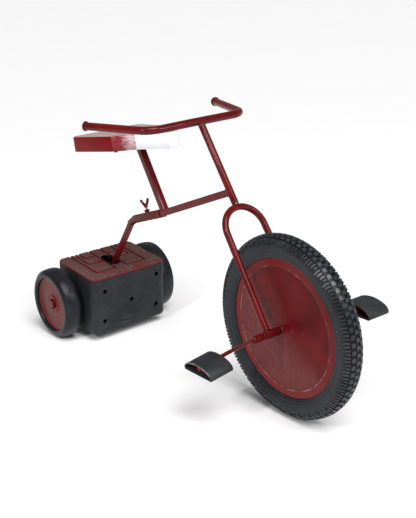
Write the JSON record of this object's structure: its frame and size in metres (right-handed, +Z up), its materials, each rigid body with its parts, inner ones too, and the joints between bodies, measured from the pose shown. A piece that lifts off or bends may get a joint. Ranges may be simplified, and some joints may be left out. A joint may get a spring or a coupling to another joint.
{
  "type": "children's tricycle",
  "caption": "Children's tricycle with a large pedalled front wheel, U-shaped fork, saddle, telescoping frame tube and a rear box step between small wheels.",
  "frame": {"origin": "On the ground, under the centre of the whole tricycle's bounding box.", "axes": "+Z is up. The tricycle faces -Y. Its right side is -X and its left side is +X. The frame's plane of symmetry is x = 0."},
  "size_m": [0.3912, 1.03, 0.6193],
  "materials": {
    "red_paint": "dark red gloss enamel, chipped and faded in places",
    "bare_steel": "bright zinc-plated steel",
    "bush_bronze": "plain sintered bronze bushing",
    "black_rubber": "black moulded rubber, worn at the edges",
    "tyre_rubber": "black tyre rubber",
    "box_plastic": "charcoal-black moulded plastic, satin",
    "mat_red": "dull red soft plastic with a greyish worn top",
    "seat_skin": "glossy dark red moulding with pale worn areas",
    "seat_plywood": "plain plywood board"
  },
  "bodies": {
    "frame": {"main_tube": "red_paint", "seat_tube": "red_paint", "head_tube": "red_paint", "head_bush_lower": "bush_bronze", "head_bush_upper": "bush_bronze", "seat_post_screw": "bare_steel"},
    "rear_unit": {"rear_sleeve": "red_paint", "down_tube": "red_paint", "clamp_nut": "red_paint", "rear_box": "box_plastic", "step_mat": "mat_red", "rear_axle": "bare_steel", "axle_housing": "bare_steel", "axle_spacer_right": "bare_steel", "axle_spacer_left": "bare_steel", "hub_cap_right": "red_paint", "hub_cap_left": "red_paint"},
    "wing_bolt": {"wing_bolt": "red_paint"},
    "seat": {"seat_post": "bare_steel", "seat_bracket": "red_paint", "seat_board": "seat_plywood", "seat_shell": "seat_skin", "seat_bolt_front": "bare_steel", "seat_bolt_rear": "bare_steel"},
    "fork": {"steerer": "bare_steel", "fork_arch": "red_paint", "fork_sleeve_right": "red_paint", "fork_sleeve_left": "red_paint", "fork_bush_right": "bush_bronze", "fork_bush_left": "bush_bronze", "handlebar": "red_paint", "bar_cap_right": "red_paint", "bar_cap_left": "red_paint"},
    "front_wheel": {"front_axle": "bare_steel", "wheel_hub": "bare_steel", "front_rim": "red_paint", "wheel_disc_right": "red_paint", "wheel_disc_left": "red_paint", "front_tyre": "tyre_rubber", "inner_tube": "black_rubber", "crank_boss_right": "red_paint", "crank_boss_left": "red_paint", "boss_bolt_axle_right": "red_paint", "boss_bolt_axle_left": "red_paint", "boss_bolt_arm_right": "red_paint", "boss_bolt_arm_left": "red_paint", "crank_rod_right": "red_paint", "crank_rod_left": "red_paint", "spindle_nut_right": "red_paint", "spindle_nut_left": "red_paint"},
    "pedal_right": {"pedal_plate_right": "red_paint", "pedal_rubber_right": "black_rubber"},
    "pedal_left": {"pedal_plate_left": "red_paint", "pedal_rubber_left": "black_rubber"},
    "rear_wheel_right": {"rear_tyre_right": "tyre_rubber", "rear_disc_right": "red_paint"},
    "rear_wheel_left": {"rear_tyre_left": "tyre_rubber", "rear_disc_left": "red_paint"}
  },
  "joints": [
    {"name": "steering", "type": "hinge", "parent": "frame", "child": "fork", "pos_m": [0, -0.09696, 0.51966], "axis": [0, 0.5606, 0.8281], "range_deg": [-26, 26]},
    {"name": "front_wheel_spin", "type": "hinge", "parent": "fork", "child": "front_wheel", "pos_m": [0, -0.31, 0.205], "axis": [1, 0, 0], "continuous": true},
    {"name": "pedal_right_spin", "type": "hinge", "parent": "front_wheel", "child": "pedal_right", "pos_m": [-0.09, -0.2325, 0.15487], "axis": [-0.9907, 0, -0.1357], "continuous": true},
    {"name": "pedal_left_spin", "type": "hinge", "parent": "front_wheel", "child": "pedal_left", "pos_m": [0.09, -0.39515, 0.24062], "axis": [1, 0, 0], "continuous": true},
    {"name": "rear_wheel_right_spin", "type": "hinge", "parent": "rear_unit", "child": "rear_wheel_right", "pos_m": [-0.149, 0.423, 0.092], "axis": [1, 0, 0], "continuous": true},
    {"name": "rear_wheel_left_spin", "type": "hinge", "parent": "rear_unit", "child": "rear_wheel_left", "pos_m": [0.149, 0.423, 0.092], "axis": [1, 0, 0], "continuous": true},
    {"name": "seat_height", "type": "slide", "parent": "frame", "child": "seat", "axis": [0, 0.5191, 0.8547], "range_m": [0, 0.05]},
    {"name": "frame_length", "type": "slide", "parent": "frame", "child": "rear_unit", "axis": [0, 0.9478, -0.319], "range_m": [0, 0.035]},
    {"name": "wing_bolt_turn", "type": "hinge", "parent": "rear_unit", "child": "wing_bolt", "pos_m": [0, 0.19998, 0.37323], "axis": [0, 0.319, 0.9478], "range_deg": [0, 360]}
  ]
}
